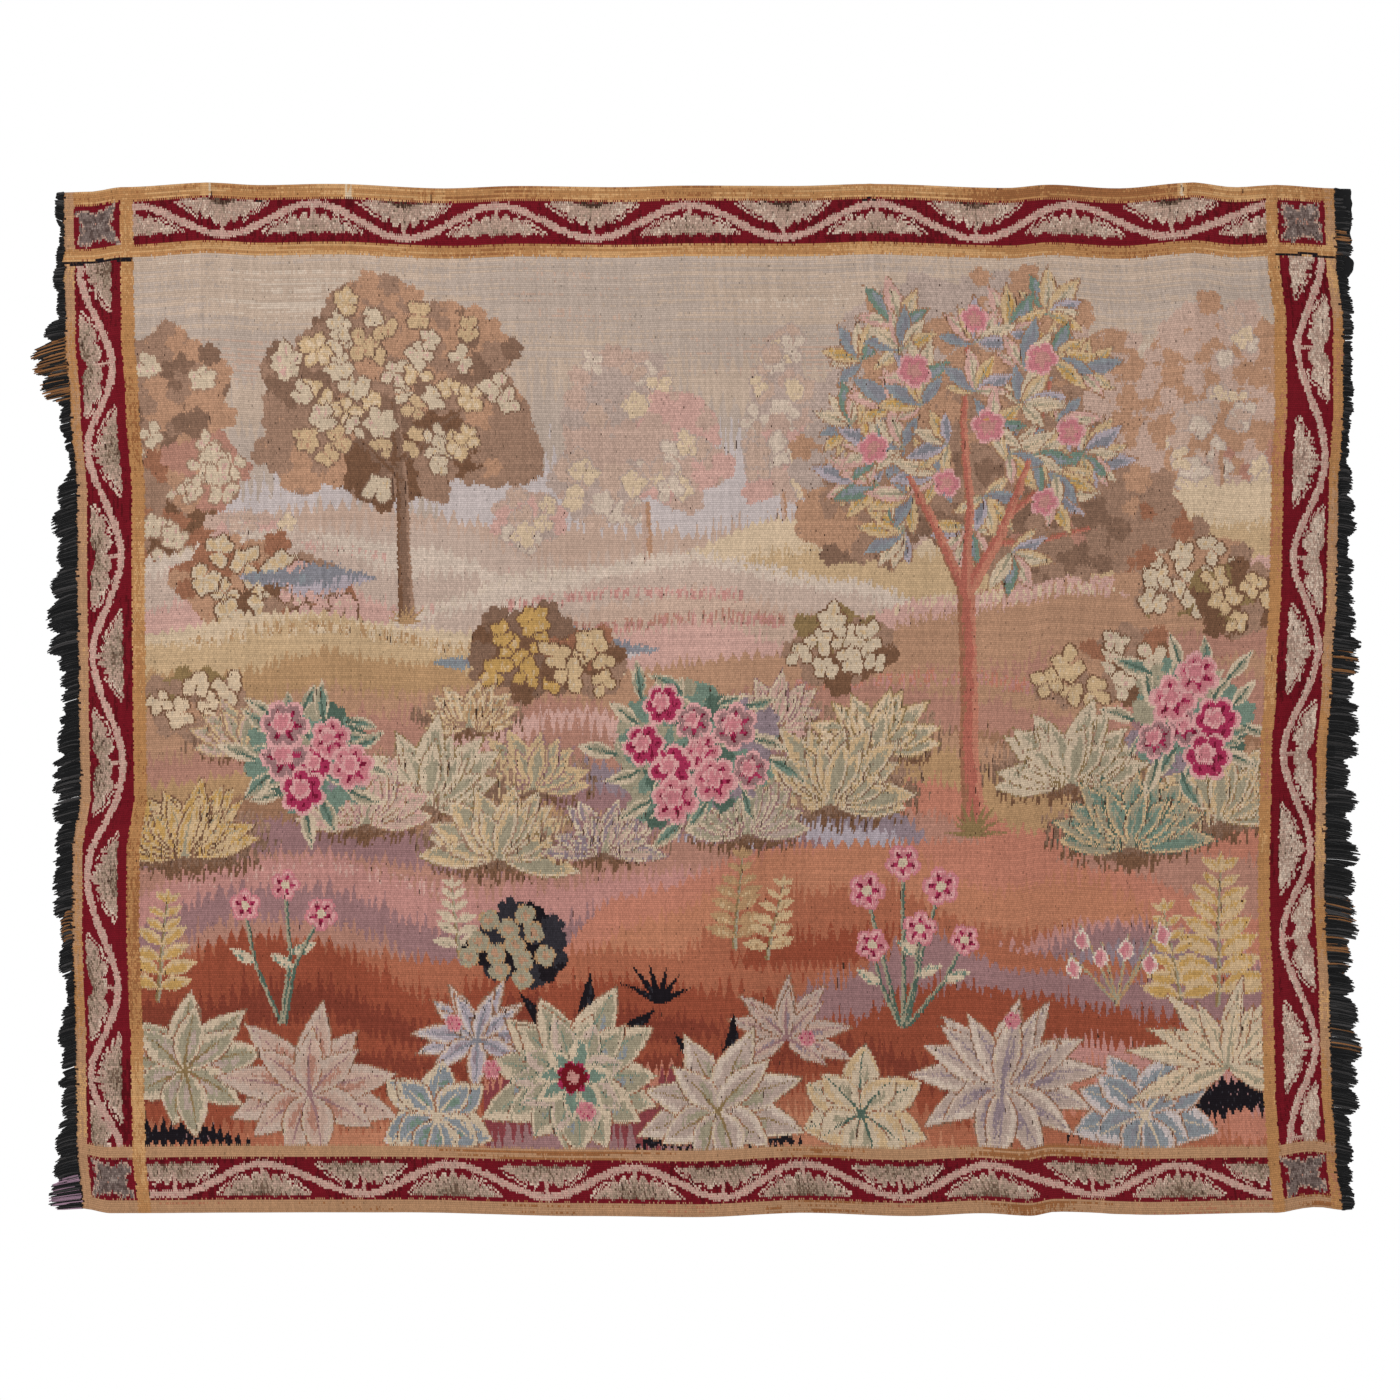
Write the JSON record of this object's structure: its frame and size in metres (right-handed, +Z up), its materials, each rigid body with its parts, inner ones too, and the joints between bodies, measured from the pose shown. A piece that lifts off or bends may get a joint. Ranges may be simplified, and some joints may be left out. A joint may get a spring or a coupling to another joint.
{
  "type": "verdure tapestry",
  "caption": "Hung woven wool tapestry with a foliage field, a vine border between gold stripes, and a ragged dark fringe down both sides.",
  "frame": {"origin": "middle of the top edge, on the wall that the back lies against", "axes": "+Z up, +X to the right as seen from the front, the woven front faces -Y, and the wall is the plane Y = 0"},
  "size_m": [1.6142, 0.0191, 1.2555],
  "materials": {
    "woven_wool": "coarse ribbed tapestry weave in faded reds, golds, creams and greys",
    "fringe_wool": "matted near-black wool pile"
  },
  "bodies": {
    "root": {"tapestry_cloth": "woven_wool", "fringe_left": "fringe_wool", "fringe_right": "fringe_wool"}
  },
  "joints": []
}
